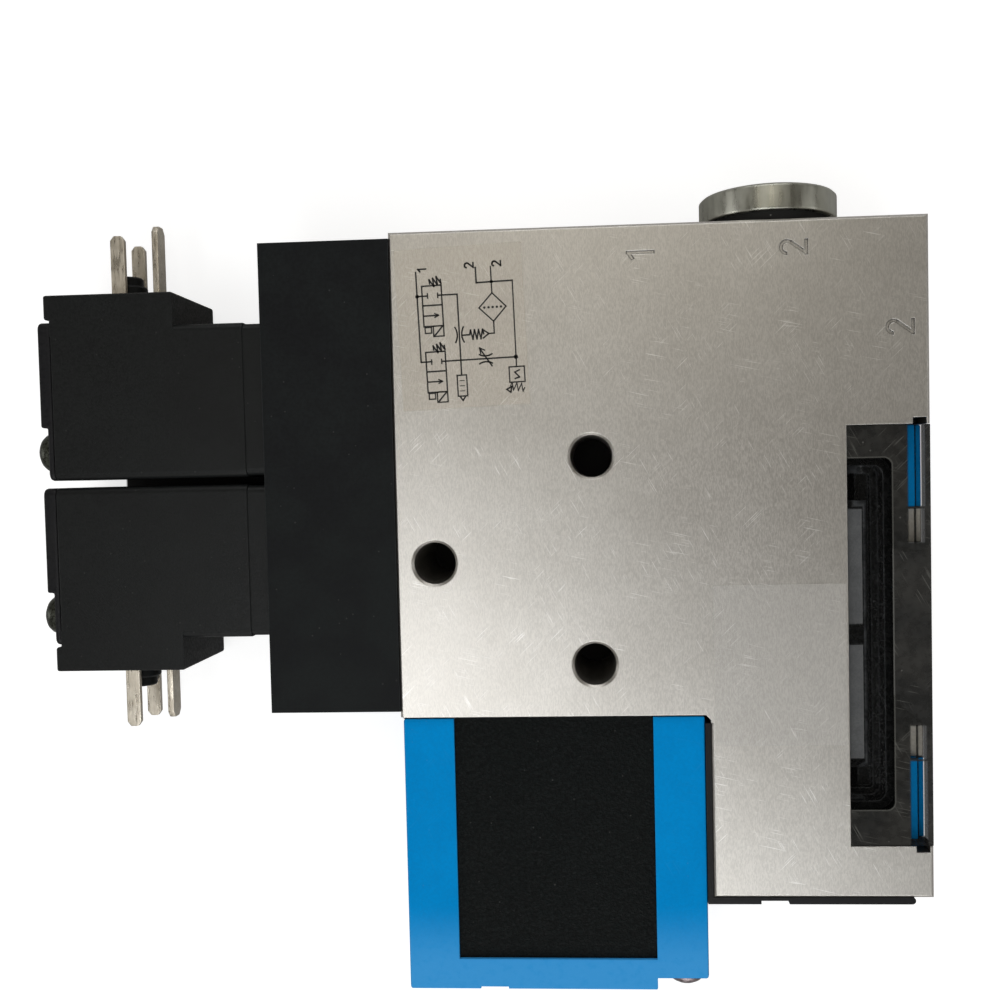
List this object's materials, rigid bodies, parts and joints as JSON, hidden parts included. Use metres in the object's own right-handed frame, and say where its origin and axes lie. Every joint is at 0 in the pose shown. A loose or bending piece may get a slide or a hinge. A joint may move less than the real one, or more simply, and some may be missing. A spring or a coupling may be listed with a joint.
{
  "type": "vacuum ejector",
  "caption": "Flat L-shaped vacuum generator block with a valve manifold and solenoid coils at the left, a silencer below, a filter window at the right and a plugged port on top.",
  "frame": {"origin": "axis of the left mounting hole at the back face", "axes": "+Z out of the front face, +X from the coils to the filter window, +Y from the silencer to the plugged port"},
  "size_m": [0.143, 0.1272, 0.0221],
  "materials": {
    "anodised_aluminium": "brushed, anodised",
    "black_manifold": "matte black",
    "coil_moulding": "fine grained black moulding",
    "bracket_black": "black coated steel",
    "screw_steel": "zinc plated",
    "contact_tin": "tin plated",
    "brass": "turned",
    "steel_inner": "turned",
    "seal_rubber": "matte",
    "blue_plastic": "fine grained blue moulding",
    "silencer_porous": "porous black",
    "smoky_clear": "smoky clear moulding",
    "frame_black": "matte black",
    "mesh_grey": "fine mesh",
    "pale_plastic": "pale moulding",
    "plug_zinc": "zinc plated",
    "clear_film": "clear film"
  },
  "bodies": {
    "block": {"ejector_body": "anodised_aluminium", "channel_plug": "steel_inner", "valve_manifold": "black_manifold", "manifold_seals": "seal_rubber", "manifold_screws": "screw_steel", "coil_upper": "coil_moulding", "coil_lower": "coil_moulding", "end_plate_upper": "bracket_black", "end_plate_lower": "bracket_black", "coil_screws": "screw_steel", "power_blades": "contact_tin", "earth_blade_upper": "contact_tin", "earth_blade_lower": "contact_tin", "connector_inserts": "brass", "armature_tubes": "steel_inner", "valve_seats": "brass", "armature_spring_upper": "steel_inner", "armature_spring_lower": "steel_inner", "jet_nozzle": "brass", "receiver_nozzle": "brass", "nozzle_seals": "seal_rubber", "check_seat": "brass", "check_spring": "steel_inner", "check_cap": "steel_inner", "silencer_housing": "blue_plastic", "silencer_insert": "silencer_porous", "silencer_gasket": "seal_rubber", "silencer_screws": "screw_steel", "cover_strip": "frame_black", "filter_window": "smoky_clear", "filter_frame": "frame_black", "filter_meshes": "mesh_grey", "port_plug": "plug_zinc", "plug_seal": "seal_rubber", "diagram_label": "clear_film", "clear_label": "clear_film"},
    "armature_upper": {"armature_upper": "steel_inner"},
    "armature_lower": {"armature_lower": "steel_inner"},
    "check_poppet": {"check_poppet": "seal_rubber"},
    "throttle": {"throttle_screw": "brass"},
    "latch_upper": {"latch_upper": "blue_plastic", "latch_tail_upper": "pale_plastic"},
    "latch_lower": {"latch_lower": "blue_plastic", "latch_tail_lower": "pale_plastic"}
  },
  "joints": [
    {"name": "armature_upper_slide", "type": "slide", "parent": "block", "child": "armature_upper", "axis": [-1, 0, 0], "range_m": [0, 0.0009], "stiffness_N_per_m": 400, "springref_m": -0.004, "deforming": ["armature_spring_upper"]},
    {"name": "armature_lower_slide", "type": "slide", "parent": "block", "child": "armature_lower", "axis": [-1, 0, 0], "range_m": [0, 0.0009], "stiffness_N_per_m": 400, "springref_m": -0.004, "deforming": ["armature_spring_lower"]},
    {"name": "check_valve_slide", "type": "slide", "parent": "block", "child": "check_poppet", "axis": [0, 1, 0], "range_m": [0, 0.002], "stiffness_N_per_m": 80, "springref_m": -0.004, "deforming": ["check_spring"]},
    {"name": "throttle_adjust", "type": "slide", "parent": "block", "child": "throttle", "axis": [0, 1, 0], "range_m": [-0.002, 0.0005]},
    {"name": "latch_upper_slide", "type": "slide", "parent": "block", "child": "latch_upper", "axis": [0, -1, 0], "range_m": [0, 0.0012]},
    {"name": "latch_lower_slide", "type": "slide", "parent": "block", "child": "latch_lower", "axis": [0, 1, 0], "range_m": [0, 0.0012]}
  ]
}
